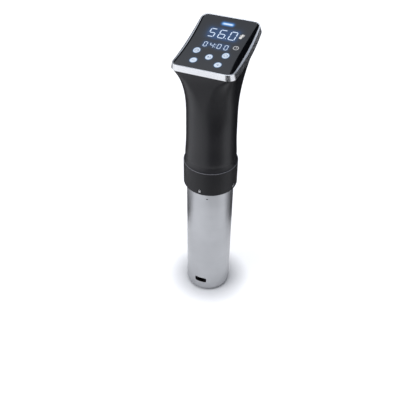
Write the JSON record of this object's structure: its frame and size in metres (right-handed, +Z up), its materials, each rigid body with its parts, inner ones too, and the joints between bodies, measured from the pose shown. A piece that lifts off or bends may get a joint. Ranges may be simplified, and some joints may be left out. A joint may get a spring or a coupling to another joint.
{
  "type": "sous vide circulator",
  "caption": "Stick-shaped immersion circulator for cooking in a water bath: steel wet end with heater and pump, black grip flaring into a tilted touch panel, spring clamp for a pot rim.",
  "frame": {"origin": "middle of the foot's lower face, on the stick's axis", "axes": "+Z up the stick, -Y towards the reader of the panel, +X to the reader's right"},
  "size_m": [0.0748, 0.0947, 0.363],
  "materials": {
    "sleeve_steel": "brushed round the tube",
    "body_plastic": "fine moulded texture",
    "clamp_plastic": "moulded",
    "bezel_plating": "satin plated",
    "panel_face": "polished, tinted",
    "light_guide": "frosted",
    "rubber": "moulded",
    "inner_plastic": "moulded",
    "circuit_board": "solder mask",
    "display_case": "moulded",
    "sheath_steel": "drawn",
    "zinc_steel": "zinc plated",
    "spring_steel": "drawn",
    "bearing_bronze": "sintered",
    "alloy": "extruded",
    "core_iron": "laminated"
  },
  "bodies": {
    "root": {"front_shell": "body_plastic", "rear_shell": "body_plastic", "collar": "body_plastic", "clamp_bracket": "clamp_plastic", "cable_gland": "clamp_plastic", "gland_nut": "clamp_plastic", "bezel": "bezel_plating", "touch_panel": "panel_face", "key_light_guides": "light_guide", "status_light_guide": "light_guide", "base_gasket": "rubber", "panel_gasket": "rubber", "shaft_seal": "rubber", "base_plate": "inner_plastic", "motor_mount": "inner_plastic", "chassis": "inner_plastic", "relay": "inner_plastic", "control_board": "circuit_board", "power_board": "circuit_board", "display_module": "display_case", "buzzer": "display_case", "filter_capacitor": "display_case", "heater_element": "sheath_steel", "temperature_probe": "sheath_steel", "level_electrodes": "sheath_steel", "shaft_tube": "sheath_steel", "bayonet_pins": "sheath_steel", "clamp_pin": "sheath_steel", "motor_can": "zinc_steel", "motor_end_cap": "zinc_steel", "base_screws": "zinc_steel", "motor_screws": "zinc_steel", "shell_screws": "zinc_steel", "board_screws": "zinc_steel", "bracket_screws": "zinc_steel", "clamp_spring": "spring_steel", "shaft_bush": "bearing_bronze", "motor_bearings": "bearing_bronze", "heat_sink": "alloy", "motor_magnets": "core_iron", "transformer": "core_iron"},
    "sleeve": {"steel_sleeve": "sleeve_steel", "foot_cap": "sleeve_steel"},
    "clamp": {"clamp_lever": "clamp_plastic", "jaw_pad": "rubber"},
    "rotor": {"armature": "core_iron", "motor_shaft": "sheath_steel", "shaft_coupling": "alloy", "pump_shaft": "sheath_steel", "impeller": "inner_plastic", "impeller_nut": "sheath_steel"}
  },
  "joints": [
    {"name": "clamp_pivot", "type": "hinge", "parent": "root", "child": "clamp", "pos_m": [0, 0.042, 0.196], "axis": [1, 0, 0], "range_deg": [0, 20], "stiffness_Nm_per_rad": 0.6, "springref_deg": -51.57, "deforming": ["clamp_spring"]},
    {"name": "sleeve_twist", "type": "hinge", "parent": "root", "child": "sleeve", "pos_m": [0, 0, 0.185], "axis": [0, 0, 1], "range_deg": [0, 25]},
    {"name": "rotor_spin", "type": "hinge", "parent": "root", "child": "rotor", "pos_m": [0, 0, 0.1], "axis": [0, 0, 1], "continuous": true}
  ]
}
